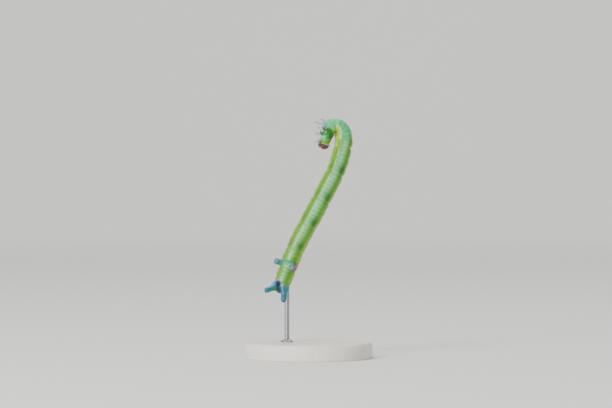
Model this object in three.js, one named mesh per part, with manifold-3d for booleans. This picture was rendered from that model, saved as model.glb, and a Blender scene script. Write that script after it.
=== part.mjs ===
// A looper larva, or inchworm, in life size: a slender green larva that hangs with its
// fore body hooked over, on a plain round display base with one short rod.
// Millimetres, +Z up. The origin is the middle of the base's underside. The larva's belly
// faces -Y, and the hook's back faces +X.
import * as THREE from "three";
import { mergeVertices } from "three/addons/utils/BufferGeometryUtils.js";
import Module from "manifold-3d";

const wasm = await Module();
wasm.setup();

// Driving dimensions of the body, from the tail's end to the neck.
const SEGMENTS = [
  { name: "abdomen_10_tail", length: 0.85, radius: 0.9 },
  { name: "abdomen_9", length: 0.4, radius: 1.02 },
  { name: "abdomen_8", length: 0.65, radius: 1.06 },
  { name: "abdomen_7", length: 0.75, radius: 1.07 },
  { name: "abdomen_6", length: 2.6, radius: 1.1 },
  { name: "abdomen_5", length: 3.45, radius: 1.15 },
  { name: "abdomen_4", length: 3.6, radius: 1.16 },
  { name: "abdomen_3", length: 3.75, radius: 1.15 },
  { name: "abdomen_2", length: 3.5, radius: 1.11 },
  { name: "abdomen_1", length: 3.2, radius: 1.1 },
  { name: "thorax_3", length: 1.15, radius: 1.05 },
  { name: "thorax_2", length: 0.8, radius: 0.93 },
  { name: "thorax_1", length: 0.55, radius: 0.76 },
];
const CUT = 0.04; // the thin cut between two segments
const CLEARANCE = 0.03; // between a limb and the body that it grows from

// Driving dimensions of the posture: pairs of a distance along the body, from the tail's
// end, and a value in degrees there.
const TAIL_PLACE = new THREE.Vector3(-3.36, -1.2, 8.9);
// Lean of the body to the right of upright; the fore body goes over into a hook.
const HEADING = [
  [0, 13],
  [1.5, 20.4],
  [4, 20.9],
  [8, 28.5],
  [12, 27.2],
  [15.5, 26.4],
  [18, 15.8],
  [19.6, 11],
  [20.6, -3.3],
  [21.6, -30],
  [22.6, -81.9],
  [23.6, -143.2],
  [24.6, -170],
  [25.6, -173],
  [27.2, -177],
];
// Lean away from the viewer: the tail's end and the head come forward.
const DEPTH = [
  [0, 34],
  [2, 27],
  [4, 8],
  [6, 0],
  [19, 0],
  [22, -8],
  [24, -14],
  [27.2, -10],
];
// Turn of the belly about the body's own line: 0 faces the viewer, 90 out of the hook.
const ROLL = [
  [0, -18],
  [4, -18],
  [9, -8],
  [13, -4],
  [17, 2],
  [19, 8],
  [20, 15],
  [21, 25],
  [22, 45],
  [22.75, 58],
  [23.4, 69],
  [24.5, 78],
  [27.2, 78],
];
const AXIS_STEP = 0.02;

// Driving dimensions of the skin's shape.
const FOLD = { depth: 0.06, width: 0.26, whole: 1.2 }; // the crease between two segments
const BELLY_FLAT = { depth: 0.05, width: 38 };
const SIDE_RIDGE = { height: 0.05, angle: 82, width: 16 };
const TAIL_END = { power: 2.4, least: 0.12 };
const COLLAR = 0.14; // how far the neck draws in
const HOOK_SQUEEZE = 0.84; // of the bend's own radius, the most that the inner side may use

const radians = THREE.MathUtils.degToRad;
const smooth = (x, from, to) => THREE.MathUtils.smoothstep(x, from, to);
const bell = (x, width) => Math.exp(-((x / width) ** 2));
const BODY_LENGTH = SEGMENTS.reduce((sum, segment) => sum + segment.length, 0);

// Value of a table of pairs at a distance s, carried smoothly from pair to pair.
function along(pairs, s) {
  const last = pairs.length - 1;
  const at = THREE.MathUtils.clamp(s, pairs[0][0], pairs[last][0]);
  const k = Math.min(last - 1, Math.max(0, pairs.findIndex((pair) => pair[0] > at) - 1));
  const from = at === pairs[last][0] ? last - 1 : k;
  const slope = (i) => {
    const a = pairs[Math.max(0, i - 1)];
    const b = pairs[Math.min(last, i + 1)];
    return (b[1] - a[1]) / (b[0] - a[0]);
  };
  const [s0, v0] = pairs[from];
  const [s1, v1] = pairs[from + 1];
  const h = s1 - s0;
  const t = (at - s0) / h;
  return (
    v0 * (2 * t ** 3 - 3 * t ** 2 + 1) +
    slope(from) * h * (t ** 3 - 2 * t ** 2 + t) +
    v1 * (3 * t ** 2 - 2 * t ** 3) +
    slope(from + 1) * h * (t ** 3 - t ** 2)
  );
}

function direction(s) {
  const turn = radians(along(HEADING, s));
  const depth = radians(along(DEPTH, s));
  return new THREE.Vector3(
    Math.sin(turn) * Math.cos(depth),
    Math.sin(depth),
    Math.cos(turn) * Math.cos(depth),
  );
}

// The body's middle line, stepped from the tail's end past the neck into the head.
const axisPoints = [TAIL_PLACE.clone()];
for (let s = 0; s < BODY_LENGTH + 2; s += AXIS_STEP) {
  const last = axisPoints[axisPoints.length - 1];
  axisPoints.push(last.clone().addScaledVector(direction(s + AXIS_STEP / 2), AXIS_STEP));
}

// Place and directions at a distance s: ahead is to the head, belly out of the belly,
// left to the larva's left and outer out of the hook.
function frameAt(s) {
  const t = THREE.MathUtils.clamp(s / AXIS_STEP, 0, axisPoints.length - 1.001);
  const k = Math.floor(t);
  const place = axisPoints[k].clone().lerp(axisPoints[k + 1], t - k);
  const ahead = direction(s);
  const outer = ahead.clone().cross(new THREE.Vector3(0, -1, 0)).normalize();
  const front = outer.clone().cross(ahead);
  const turn = radians(along(ROLL, s));
  const belly = front
    .clone()
    .multiplyScalar(Math.cos(turn))
    .addScaledVector(outer, Math.sin(turn));
  const left = ahead.clone().cross(belly);
  return { place, ahead, belly, left, outer };
}

// The distance at which each segment begins and ends.
let reached = 0;
for (const segment of SEGMENTS) {
  segment.from = reached;
  reached += segment.length;
  segment.to = reached;
  segment.middle = (segment.from + segment.to) / 2;
}
const segmentNamed = (name) => SEGMENTS.find((segment) => segment.name === name);

// Mean radius, carried smoothly from the middle of one segment to the middle of the next.
function meanRadius(s) {
  const next = SEGMENTS.findIndex((segment) => segment.middle > s);
  if (next === 0) return SEGMENTS[0].radius;
  if (next === -1) return SEGMENTS[SEGMENTS.length - 1].radius;
  const a = SEGMENTS[next - 1];
  const b = SEGMENTS[next];
  return a.radius + (b.radius - a.radius) * smooth(s, a.middle, b.middle);
}

// The crease at each joint between segments, shallower where segments are short.
function creases(s) {
  let sum = 0;
  for (const segment of SEGMENTS.slice(1)) {
    const share = Math.min(1, segment.length / FOLD.whole);
    sum += FOLD.depth * share * bell(s - segment.from, FOLD.width * share);
  }
  return sum;
}

// Rounds off the tail's end and draws in the collar behind the head.
function endRounding(s) {
  const tail = SEGMENTS[0].length;
  const neck = segmentNamed("thorax_1");
  const fromEnd = THREE.MathUtils.clamp((tail - s) / tail, 0, 1);
  const tailEnd = Math.sqrt(Math.max(0, 1 - Math.pow(fromEnd, TAIL_END.power)));
  return Math.max(TAIL_END.least, tailEnd) * (1 - COLLAR * smooth(s, neck.middle, neck.to));
}

// How tightly the body bends in the picture plane, in radians for each millimetre.
function bending(s) {
  const h = 0.05;
  return Math.abs(radians(along(HEADING, s + h) - along(HEADING, s - h))) / (2 * h);
}

// Distance of the skin from the middle line, angle in degrees from the belly to the left.
function skinRadius(s, angle, grown = 0) {
  const side = Math.abs(angle);
  const section =
    1 -
    BELLY_FLAT.depth * bell(side, BELLY_FLAT.width) +
    SIDE_RIDGE.height * bell(side - SIDE_RIDGE.angle, SIDE_RIDGE.width);
  const r = meanRadius(s) * section * (1 - creases(s)) * endRounding(s);
  const inward = -Math.sin(radians(angle + along(ROLL, s)));
  const used = Math.max(0, bending(s) * r * inward) / HOOK_SQUEEZE;
  const sharpness = 6;
  return r / Math.pow(1 + Math.pow(used, sharpness), 1 / sharpness) + grown;
}

// Point of the skin, or under it where share is less than 1.
function skinPoint(s, angle, share = 1, grown = 0) {
  const { place, belly, left } = frameAt(s);
  const r = skinRadius(s, angle, grown) * share;
  return place
    .clone()
    .addScaledVector(belly, r * Math.cos(radians(angle)))
    .addScaledVector(left, r * Math.sin(radians(angle)));
}

// A closed solid from any three.js geometry, with its faces turned outward.
function solidOf(geometry) {
  const bare = geometry.clone();
  bare.deleteAttribute("normal");
  bare.deleteAttribute("uv");
  const merged = mergeVertices(bare, 1e-5);
  const build = (triVerts) =>
    new wasm.Manifold(
      new wasm.Mesh({
        numProp: 3,
        vertProperties: new Float32Array(merged.attributes.position.array),
        triVerts,
      }),
    );
  const faces = new Uint32Array(merged.index.array);
  const made = build(faces);
  return made.volume() > 0 ? made : build(faces.reverse());
}

function geometryOf(solid) {
  const mesh = solid.getMesh();
  const points = new Float32Array(mesh.numVert * 3);
  for (let i = 0; i < mesh.numVert; i += 1) {
    points.set(mesh.vertProperties.subarray(i * mesh.numProp, i * mesh.numProp + 3), i * 3);
  }
  const geometry = new THREE.BufferGeometry();
  geometry.setAttribute("position", new THREE.BufferAttribute(points, 3));
  geometry.setIndex(new THREE.BufferAttribute(new Uint32Array(mesh.triVerts), 1));
  return geometry;
}

// Moves every vertex of a geometry by a function of its old place.
function reshape(geometry, place) {
  const position = geometry.attributes.position;
  const old = new THREE.Vector3();
  for (let i = 0; i < position.count; i += 1) {
    const moved = place(old.fromBufferAttribute(position, i));
    position.setXYZ(i, moved.x, moved.y, moved.z);
  }
  return geometry;
}

// A closed stretch of the body, bent from a cylinder.
function trunkStretch(from, to, sides, rings, grown = 0) {
  const cylinder = new THREE.CylinderGeometry(1, 1, 1, sides, rings);
  return reshape(cylinder, (p) => {
    const s = from + (to - from) * (p.y + 0.5);
    const angle = THREE.MathUtils.radToDeg(Math.atan2(p.x, p.z));
    return skinPoint(s, angle, Math.hypot(p.x, p.z), grown);
  });
}

// A round limb along a curve. radiusAt gives the radius at a share of the way, and width
// how much wider the limb is across than it is deep.
function limb(line, radiusAt, sides, rings, width = 1) {
  const frames = line.computeFrenetFrames(rings);
  const cylinder = new THREE.CylinderGeometry(1, 1, 1, sides, rings);
  return reshape(cylinder, (p) => {
    const share = p.y + 0.5;
    const ring = Math.round(share * rings);
    const r = radiusAt(share);
    return line
      .getPointAt(share)
      .addScaledVector(frames.normals[ring], p.x * r * width)
      .addScaledVector(frames.binormals[ring], p.z * r);
  });
}
const bent = (root, bow, tip) => new THREE.QuadraticBezierCurve3(root, bow, tip);

// Place measured from a point of the middle line, in the larva's own directions.
function bodyPlace(s, ahead, belly, left) {
  const frame = frameAt(s);
  return frame.place
    .clone()
    .addScaledVector(frame.ahead, ahead)
    .addScaledVector(frame.belly, belly)
    .addScaledVector(frame.left, left);
}

// Colours of the living larva.
const paint = (color, roughness) =>
  new THREE.MeshStandardMaterial({ color, roughness, metalness: 0 });
const FLESH = paint(0x8fbf5a, 0.45);
const PROLEG = paint(0x6fb39a, 0.45);
const LEG = paint(0xd4dde0, 0.35);
const CLAW = paint(0x3b2328, 0.3);
const HEAD = paint(0x7d4a35, 0.35);
const EYE = paint(0x14100f, 0.15);
const MOUTH = paint(0x9a5a4c, 0.35);
const BASE = paint(0xe9e7e1, 0.5);
const STEEL = new THREE.MeshStandardMaterial({ color: 0xb9bcc0, roughness: 0.3, metalness: 1 });

const larva = new THREE.Group();
function add(name, solid, material) {
  const mesh = new THREE.Mesh(geometryOf(solid), material);
  mesh.name = name;
  larva.add(mesh);
  return solid;
}

// The thirteen segments of thorax and abdomen, parted by thin cuts.
const TRUNK_SIDES = 22;
for (const segment of SEGMENTS) {
  const first = segment === SEGMENTS[0];
  const from = first ? 0 : segment.from + CUT / 2;
  const rings = Math.max(4, Math.round(segment.length * 2.4));
  const stretch = trunkStretch(from, segment.to - CUT / 2, TRUNK_SIDES, rings);
  add(segment.name, solidOf(stretch), FLESH);
}

// The whole trunk, grown by the clearance: what a limb is cut back from.
const trunkRoom = solidOf(
  trunkStretch(0, BODY_LENGTH - CUT / 2, TRUNK_SIDES, 110, CLEARANCE),
);

// Prolegs of the sixth segment: short stout stubs, each ending in a broader foot.
const PROLEG_6 = { s: 3.3, root: [-0.1, 0.45, 0.34], thick: [0.56, 0.34, 0.38], sag: 0 };
const PROLEG_6_TIPS = { left: [-0.8, 1.3, 1.1], right: [-0.42, 1.45, -1.5] };
// Anal prolegs: longer, splayed back like the arms of a Y.
const PROLEG_10 = { s: 0.5, root: [-0.3, 0.24, 0.3], thick: [0.66, 0.33, 0.33], sag: 0.22 };
const PROLEG_10_TIPS = { left: [-2.62, -0.05, 0.76], right: [-1.93, 1.02, -1.62] };
const PROLEG_BOW = 0.12;

function proleg(size, tip) {
  const side = Math.sign(tip[2]);
  const [ahead, out, lateral] = size.root;
  const [thickRoot, neck, foot] = size.thick;
  const root = bodyPlace(size.s, ahead, out, side * lateral);
  const end = bodyPlace(size.s, ...tip);
  const bow = root
    .clone()
    .lerp(end, 0.5)
    .addScaledVector(frameAt(size.s).left, side * PROLEG_BOW)
    .addScaledVector(frameAt(size.s).ahead, -size.sag);
  const radiusAt = (share) => {
    const stem = thickRoot + (neck - thickRoot) * smooth(share, 0.1, 0.62);
    return (stem + (foot - neck) * smooth(share, 0.66, 0.86)) * (1 - 0.5 * smooth(share, 0.9, 1));
  };
  return solidOf(limb(bent(root, bow, end), radiusAt, 12, 9, 1.1));
}

const SIDES = [
  { side: 1, word: "left" },
  { side: -1, word: "right" },
];
// The two prolegs of a pair are parted by a thin cut down the belly's middle.
const ROOM = 6;
function halfRoom(s, side) {
  const blank = reshape(new THREE.BoxGeometry(ROOM, ROOM, ROOM), (p) =>
    bodyPlace(s, p.x, p.y, side * (ROOM / 2 + CUT / 2) + p.z),
  );
  return solidOf(blank);
}

const prolegs = [];
for (const { side, word } of SIDES) {
  const six = proleg(PROLEG_6, PROLEG_6_TIPS[word]).intersect(halfRoom(PROLEG_6.s, side));
  const ten = proleg(PROLEG_10, PROLEG_10_TIPS[word]).intersect(halfRoom(PROLEG_10.s, side));
  prolegs.push(add(`proleg_6_${word}`, six.subtract(trunkRoom), PROLEG));
  prolegs.push(add(`proleg_10_${word}`, ten.subtract(trunkRoom), PROLEG));
}

// The anal plate: a rounded shield over the tail's back.
const PLATE = { s: 0.14, back: -0.66, half_width: 0.58, half_length: 0.66, half_depth: 0.27 };
const PLATE_SPREAD = 0.25;
const plateBlank = reshape(new THREE.SphereGeometry(1, 16, 10), (p) =>
  bodyPlace(
    PLATE.s,
    p.y * PLATE.half_length,
    PLATE.back + p.z * PLATE.half_depth,
    p.x * PLATE.half_width * (1 + PLATE_SPREAD * p.y),
  ),
);
let plate = solidOf(plateBlank).subtract(trunkRoom);
for (const other of prolegs) plate = plate.subtract(other);
add("anal_plate", plate, FLESH);

// True legs of the thorax: hard, jointed, tapering, each with a hooked claw.
const LEGS = [
  { segment: "thorax_3", side: 1, root: [0, 0.6, 0.28], tip: [0.24, 1.56, 0.35] },
  { segment: "thorax_3", side: -1, root: [0.48, 0.6, -0.3], tip: [1.2, 1.88, -0.45] },
  { segment: "thorax_2", side: 1, root: [0, 0.45, 0.24], tip: [0.12, 1.12, 0.42] },
  { segment: "thorax_2", side: -1, root: [-0.05, 0.45, -0.3], tip: [-0.32, 1.22, -0.66] },
  { segment: "thorax_1", side: 1, root: [0.1, 0.38, 0.2], tip: [0.36, 1.12, 0.3] },
  { segment: "thorax_1", side: -1, root: [0, 0.38, -0.24], tip: [-0.32, 1.08, -0.55] },
];
const LEG_RADIUS = { hip: 0.27, knee: 0.2, shin: 0.17, foot: 0.12 };
const LEG_JOINTS = { at: [0.42, 0.68], waist: 0.14, width: 0.05 };
const LEG_BOW = { out: 0.14, back: 0.08 };
const CLAW_SIZE = { length: 0.26, root: 0.07, point: 0.03, bow: 0.6, reach: 0.8, hook: 0.5 };

// Radius of a leg along its length: swollen hip, knee and shin with a waist at each joint.
function legRadius(share) {
  const taper =
    LEG_RADIUS.hip +
    (LEG_RADIUS.knee - LEG_RADIUS.hip) * smooth(share, 0, 0.45) +
    (LEG_RADIUS.shin - LEG_RADIUS.knee) * smooth(share, 0.45, 0.7) +
    (LEG_RADIUS.foot - LEG_RADIUS.shin) * smooth(share, 0.7, 1);
  const { at, waist, width } = LEG_JOINTS;
  const waists = at.reduce((sum, place) => sum + bell(share - place, width), 0);
  return taper * (1 - waist * waists);
}

for (const leg of LEGS) {
  const s = segmentNamed(leg.segment).middle;
  const word = leg.side > 0 ? "left" : "right";
  const root = bodyPlace(s, ...leg.root);
  const tip = bodyPlace(s, ...leg.tip);
  const frame = frameAt(s);
  const bow = root
    .clone()
    .lerp(tip, 0.5)
    .addScaledVector(frame.left, leg.side * LEG_BOW.out)
    .addScaledVector(frame.ahead, -LEG_BOW.back);
  const whole = solidOf(limb(bent(root, bow, tip), legRadius, 8, 10)).subtract(trunkRoom);
  add(`${leg.segment}_leg_${word}`, whole, LEG);
  const reach = tip.clone().sub(bow).normalize();
  const clawRoot = tip.clone().addScaledVector(reach, CLEARANCE);
  const clawBow = clawRoot.clone().addScaledVector(reach, CLAW_SIZE.length * CLAW_SIZE.bow);
  const clawTip = clawRoot
    .clone()
    .addScaledVector(reach, CLAW_SIZE.length * CLAW_SIZE.reach)
    .addScaledVector(frame.ahead, CLAW_SIZE.length * CLAW_SIZE.hook);
  const clawRadius = (share) => CLAW_SIZE.root + (CLAW_SIZE.point - CLAW_SIZE.root) * share;
  add(
    `${leg.segment}_claw_${word}`,
    solidOf(limb(bent(clawRoot, clawBow, clawTip), clawRadius, 5, 3)),
    CLAW,
  );
}

// The head capsule: two rounded lobes with a groove between, face down, mouth to the belly.
const HEAD_SIZE = { half_width: 0.6, half_depth: 0.58, half_height: 0.62 };
const HEAD_PLACE = { ahead: 0.43, belly: 0.04 };
const headPlace = (p) =>
  bodyPlace(
    BODY_LENGTH,
    HEAD_PLACE.ahead + p.y * HEAD_SIZE.half_depth,
    HEAD_PLACE.belly + p.z * HEAD_SIZE.half_height,
    p.x * HEAD_SIZE.half_width,
  );
const GROOVE = { depth: 0.1, width: 0.16, lean: 0.6, from: -0.2, to: 0.9 };
const CHIN = { depth: 0.1, from: 0.45 };
const CHEEK = { height: 0.05, at: 0.72, width: 0.35 };
// Share of the head's radius in a unit direction: y is ahead, z to the belly, x to the left.
function headShare(p) {
  const crown = smooth(p.y - GROOVE.lean * p.z, GROOVE.from, GROOVE.to);
  const groove = GROOVE.depth * bell(p.x, GROOVE.width) * crown;
  const chin = CHIN.depth * smooth(p.z, CHIN.from, 1);
  const cheeks = CHEEK.height * bell(Math.abs(p.x) - CHEEK.at, CHEEK.width);
  return 1 - groove - chin + cheeks;
}
const headGeometry = (grown) =>
  reshape(new THREE.SphereGeometry(1, 22, 14), (p) => {
    const unit = p.clone().normalize();
    return headPlace(unit.multiplyScalar(headShare(unit) + grown));
  });
const headSolid = solidOf(headGeometry(0));
const headRoom = solidOf(headGeometry(CLEARANCE / HEAD_SIZE.half_depth));
add("head_capsule", headSolid.subtract(trunkRoom), HEAD);

// A point on the head, from a direction as longitude from the face's middle and latitude
// toward the mouth, both in degrees.
function headPoint(longitude, latitude, share = 1) {
  const across = Math.sin(radians(longitude)) * Math.cos(radians(latitude));
  const ahead = Math.cos(radians(longitude)) * Math.cos(radians(latitude));
  const unit = new THREE.Vector3(across, ahead, Math.sin(radians(latitude)));
  return headPlace(unit.clone().multiplyScalar(headShare(unit) * share));
}

// The eyes: six small round lenses on each side, in an arc above the jaw's corner, joined
// by a raised band of cuticle.
const LENSES = 6;
const LENS = { radius: 0.065, band: 0.045, rings: 30, sides: 6 };
const EYE_ARC = { longitude: 66, latitude: 30, radius: 14, from: -150, to: 80 };
function eye(side) {
  const stand = 1 + (LENS.radius + CLEARANCE) / HEAD_SIZE.half_depth;
  const places = [];
  for (let i = 0; i < LENSES; i += 1) {
    const turn = radians(EYE_ARC.from + ((EYE_ARC.to - EYE_ARC.from) * i) / (LENSES - 1));
    const longitude = EYE_ARC.longitude + EYE_ARC.radius * Math.cos(turn);
    const latitude = EYE_ARC.latitude + EYE_ARC.radius * Math.sin(turn);
    places.push(headPoint(side * longitude, latitude, stand));
  }
  const swell = (share) => 0.5 - 0.5 * Math.cos(2 * Math.PI * share * LENSES);
  const radiusAt = (share) => LENS.band + (LENS.radius - LENS.band) * swell(share);
  const arc = new THREE.CatmullRomCurve3(places);
  return solidOf(limb(arc, radiusAt, LENS.sides, LENS.rings));
}

// The feelers: short three-jointed stubs beside the jaws.
const FEELER = { longitude: 40, latitude: 52, root: 0.09, tip: 0.05, spread: 1.1 };
const FEELER_SHARES = { root: 0.9, tip: 1.45 };
function feeler(side) {
  const root = headPoint(side * FEELER.longitude, FEELER.latitude, FEELER_SHARES.root);
  const tipLongitude = side * FEELER.longitude * FEELER.spread;
  const tip = headPoint(tipLongitude, FEELER.latitude, FEELER_SHARES.tip);
  const bow = root.clone().lerp(tip, 0.5);
  const radiusAt = (share) => FEELER.root + (FEELER.tip - FEELER.root) * smooth(share, 0.4, 0.9);
  return solidOf(limb(bent(root, bow, tip), radiusAt, 7, 4)).subtract(headRoom);
}

// The mouth's pieces, each a rounded plate: its middle from the neck's end, and half sizes
// in the same order of ahead, belly and left. Jaws taper to their biting edge.
const JAW = { middle: [0.47, 0.66, 0.17], half: [0.17, 0.2, 0.14], taper: 0.3 };
const UPPER_LIP = { middle: [0.73, 0.64, 0], half: [0.07, 0.17, 0.24], taper: 0 };
const LOWER_LIP = { middle: [0.19, 0.64, 0], half: [0.09, 0.2, 0.17], taper: 0 };

function mouthPiece(size, side = 1) {
  const blank = reshape(new THREE.SphereGeometry(1, 12, 8), (p) =>
    bodyPlace(
      BODY_LENGTH,
      size.middle[0] + p.y * size.half[0],
      size.middle[1] + p.z * size.half[1],
      side * size.middle[2] + p.x * size.half[2] * (1 - size.taper * p.z),
    ),
  );
  return solidOf(blank).subtract(headRoom);
}

for (const { side, word } of SIDES) {
  add(`eye_${word}`, eye(side), EYE);
  add(`feeler_${word}`, feeler(side), MOUTH);
  add(`jaw_${word}`, mouthPiece(JAW, side), MOUTH);
}
add("upper_lip", mouthPiece(UPPER_LIP), MOUTH);
add("lower_lip", mouthPiece(LOWER_LIP), MOUTH);

// The display stand: a round plate and one rod with a small foot, up to the tail's back.
const PLATE_STAND = { radius: 8, height: 2, bevel: 0.3 };
const ROD = { x: -2.7, y: 0.2, radius: 0.3, top: 14 };
const ROD_FOOT = { radius: 0.8, edge: 0.15, height: 0.4 };
const baseProfile = [
  [0, 0],
  [PLATE_STAND.radius, 0],
  [PLATE_STAND.radius, PLATE_STAND.height - PLATE_STAND.bevel],
  [PLATE_STAND.radius - PLATE_STAND.bevel, PLATE_STAND.height],
  [0, PLATE_STAND.height],
].map(([x, y]) => new THREE.Vector2(x, y));
const upright = (geometry) => geometry.rotateX(Math.PI / 2);
add("stand_base", solidOf(upright(new THREE.LatheGeometry(baseProfile, 64))), BASE);

const rodFloor = PLATE_STAND.height + CLEARANCE;
const rodProfile = [
  [0, rodFloor],
  [ROD_FOOT.radius, rodFloor],
  [ROD_FOOT.radius, rodFloor + ROD_FOOT.edge],
  [ROD.radius, rodFloor + ROD_FOOT.height],
  [ROD.radius, ROD.top],
  [0, ROD.top],
].map(([x, y]) => new THREE.Vector2(x, y));
const rodWhole = solidOf(
  upright(new THREE.LatheGeometry(rodProfile, 20)).translate(ROD.x, ROD.y, 0),
);
let rod = rodWhole.subtract(trunkRoom);
for (const other of [...prolegs, plate]) rod = rod.subtract(other);
// The cut leaves an upper stretch past the body: only the piece that stands on the base stays.
const standing = rod.decompose().sort((a, b) => a.boundingBox().min[2] - b.boundingBox().min[2]);
add("stand_rod", standing[0], STEEL);

export default larva;
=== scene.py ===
import math
import random
from itertools import zip_longest

import bpy
import numpy as np
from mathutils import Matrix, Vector
from mathutils.bvhtree import BVHTree


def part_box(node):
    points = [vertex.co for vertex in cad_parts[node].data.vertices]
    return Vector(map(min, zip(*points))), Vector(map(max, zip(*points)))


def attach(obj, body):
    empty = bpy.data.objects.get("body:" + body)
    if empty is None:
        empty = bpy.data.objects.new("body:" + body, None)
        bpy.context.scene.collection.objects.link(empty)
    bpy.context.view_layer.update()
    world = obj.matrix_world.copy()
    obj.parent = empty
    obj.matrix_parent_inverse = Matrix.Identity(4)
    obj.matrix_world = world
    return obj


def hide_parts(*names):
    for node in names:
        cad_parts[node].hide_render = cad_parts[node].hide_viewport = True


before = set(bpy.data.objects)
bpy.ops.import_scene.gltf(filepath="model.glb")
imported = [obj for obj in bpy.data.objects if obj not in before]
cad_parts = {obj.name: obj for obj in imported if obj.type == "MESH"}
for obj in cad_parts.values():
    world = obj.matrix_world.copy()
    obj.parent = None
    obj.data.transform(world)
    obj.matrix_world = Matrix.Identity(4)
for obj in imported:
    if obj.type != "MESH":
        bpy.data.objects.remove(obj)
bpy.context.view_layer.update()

# The body's line: a looper hangs with its fore body hooked over. It is laid out in
# millimetres as thirteen segments from the tail's end to the neck, and a heading, a lean in
# depth and a turn of the belly along the way.
MM = 0.001
SEGMENTS = [
    ("abdomen_10_tail", 0.85, 0.9),
    ("abdomen_9", 0.4, 1.02),
    ("abdomen_8", 0.65, 1.06),
    ("abdomen_7", 0.75, 1.07),
    ("abdomen_6", 2.6, 1.1),
    ("abdomen_5", 3.45, 1.15),
    ("abdomen_4", 3.6, 1.16),
    ("abdomen_3", 3.75, 1.15),
    ("abdomen_2", 3.5, 1.11),
    ("abdomen_1", 3.2, 1.1),
    ("thorax_3", 1.15, 1.05),
    ("thorax_2", 0.8, 0.93),
    ("thorax_1", 0.55, 0.76),
]
LENGTHS = np.array([length for _, length, _ in SEGMENTS])
RADII = np.array([radius for _, _, radius in SEGMENTS])
BORDERS = np.concatenate([[0], np.cumsum(LENGTHS)])
MIDDLES = (BORDERS[1:] + BORDERS[:-1]) / 2
BODY_LENGTH = BORDERS[-1]
NUMBER = {name: i for i, (name, _, _) in enumerate(SEGMENTS)}
TAIL_PLACE = np.array([-3.36, -1.2, 8.9])
HEADING = [
    (0, 13), (1.5, 20.4), (4, 20.9), (8, 28.5), (12, 27.2), (15.5, 26.4), (18, 15.8), (19.6, 11),
    (20.6, -3.3), (21.6, -30), (22.6, -81.9), (23.6, -143.2), (24.6, -170), (25.6, -173),
    (27.2, -177),
]
DEPTH = [(0, 34), (2, 27), (4, 8), (6, 0), (19, 0), (22, -8), (24, -14), (27.2, -10)]
ROLL = [
    (0, -18), (4, -18), (9, -8), (13, -4), (17, 2), (19, 8), (20, 15), (21, 25), (22, 45),
    (22.75, 58), (23.4, 69), (24.5, 78), (27.2, 78),
]
AXIS_STEP = 0.02
AXIS_END = 27.2


def smooth(x, low, high):
    """0 up to low, 1 from high on, and an eased ramp between them."""
    t = np.clip((x - low) / (high - low), 0, 1)
    return t * t * (3 - 2 * t)


def bell(x, width):
    """1 where x is 0, fading away on both sides over a width."""
    return np.exp(-((x / width) ** 2))


def along(pairs, s):
    """A smooth curve through pairs of a place on the body and a value, read at s."""
    at = np.array([pair[0] for pair in pairs], float)
    value = np.array([pair[1] for pair in pairs], float)
    before = np.maximum(np.arange(len(at)) - 1, 0)
    after = np.minimum(np.arange(len(at)) + 1, len(at) - 1)
    slope = (value[after] - value[before]) / (at[after] - at[before])
    s = np.clip(np.asarray(s, float), at[0], at[-1])
    k = np.clip(np.searchsorted(at, s, side="right") - 1, 0, len(at) - 2)
    h = at[k + 1] - at[k]
    t = (s - at[k]) / h
    start = value[k] * (2 * t**3 - 3 * t**2 + 1) + slope[k] * h * (t**3 - 2 * t**2 + t)
    return start + value[k + 1] * (3 * t**2 - 2 * t**3) + slope[k + 1] * h * (t**3 - t**2)


def direction(s):
    """The way that the body runs at s, from the tail to the head."""
    turn = np.radians(along(HEADING, s))
    depth = np.radians(along(DEPTH, s))
    return np.stack(
        [np.sin(turn) * np.cos(depth), np.sin(depth), np.cos(turn) * np.cos(depth)], -1
    )


axis_s = np.arange(0, AXIS_END, AXIS_STEP)
axis_moves = direction(axis_s[:-1] + AXIS_STEP / 2) * AXIS_STEP
axis_points = TAIL_PLACE + np.concatenate([np.zeros((1, 3)), np.cumsum(axis_moves, 0)])


def body_frame(s):
    """Place, and the directions ahead, out of the belly and to the larva's left."""
    s = np.asarray(s, float)
    place = np.stack([np.interp(s, axis_s, axis_points[:, i]) for i in range(3)], -1)
    ahead = direction(s)
    outer = np.cross(ahead, [0, -1, 0])
    outer /= np.linalg.norm(outer, axis=-1, keepdims=True)
    front = np.cross(outer, ahead)
    turn = np.radians(along(ROLL, s))[..., None]
    belly = front * np.cos(turn) + outer * np.sin(turn)
    return place, ahead, belly, np.cross(ahead, belly)


def body_place(s, ahead, belly, left):
    """A place off the middle line, by its offsets ahead, to the belly and to the left."""
    place, a, b, c = body_frame(s)
    return place + a * ahead + b * belly + c * left


# The trunk: soft skin blown out between creases. Each long segment has seven shallow
# annulets, a ridge runs along each flank, and the inside of the hook is crumpled.
FOLD_DEPTH, FOLD_WIDTH, FOLD_WHOLE = 0.075, 0.17, 1.2
BELLY_FLAT, BELLY_FLAT_WIDTH = 0.05, 38
RIDGE_HEIGHT, RIDGE_ANGLE, RIDGE_WIDTH = 0.05, 82, 16
TAIL_POWER, TAIL_LEAST = 2.4, 0.12
COLLAR = 0.14
HOOK_SQUEEZE, SQUEEZE_SHARPNESS = 0.84, 6
ANNULETS = np.array([2, 1, 2, 3, 5, 7, 7, 7, 7, 7, 3, 2, 2])
ANNULET_DEPTH, ANNULET_WIDTH = 0.042, 0.075
FLANK_LUMPS = 0.028
BELT_AT, BELT_HEIGHT = 3.18, 0.12
TRUNK_STEP, TRUNK_SIDES = 0.05, 96
NECK_END = BODY_LENGTH + 0.12


def mean_radius(s):
    k = np.clip(np.searchsorted(MIDDLES, s) - 1, 0, len(MIDDLES) - 2)
    return RADII[k] + (RADII[k + 1] - RADII[k]) * smooth(s, MIDDLES[k], MIDDLES[k + 1])


def creases(s):
    total = np.zeros_like(s)
    for border, length in zip(BORDERS[1:-1], LENGTHS[1:]):
        share = min(1, length / FOLD_WHOLE)
        total += FOLD_DEPTH * share * bell(s - border, FOLD_WIDTH * share)
    return total


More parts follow.
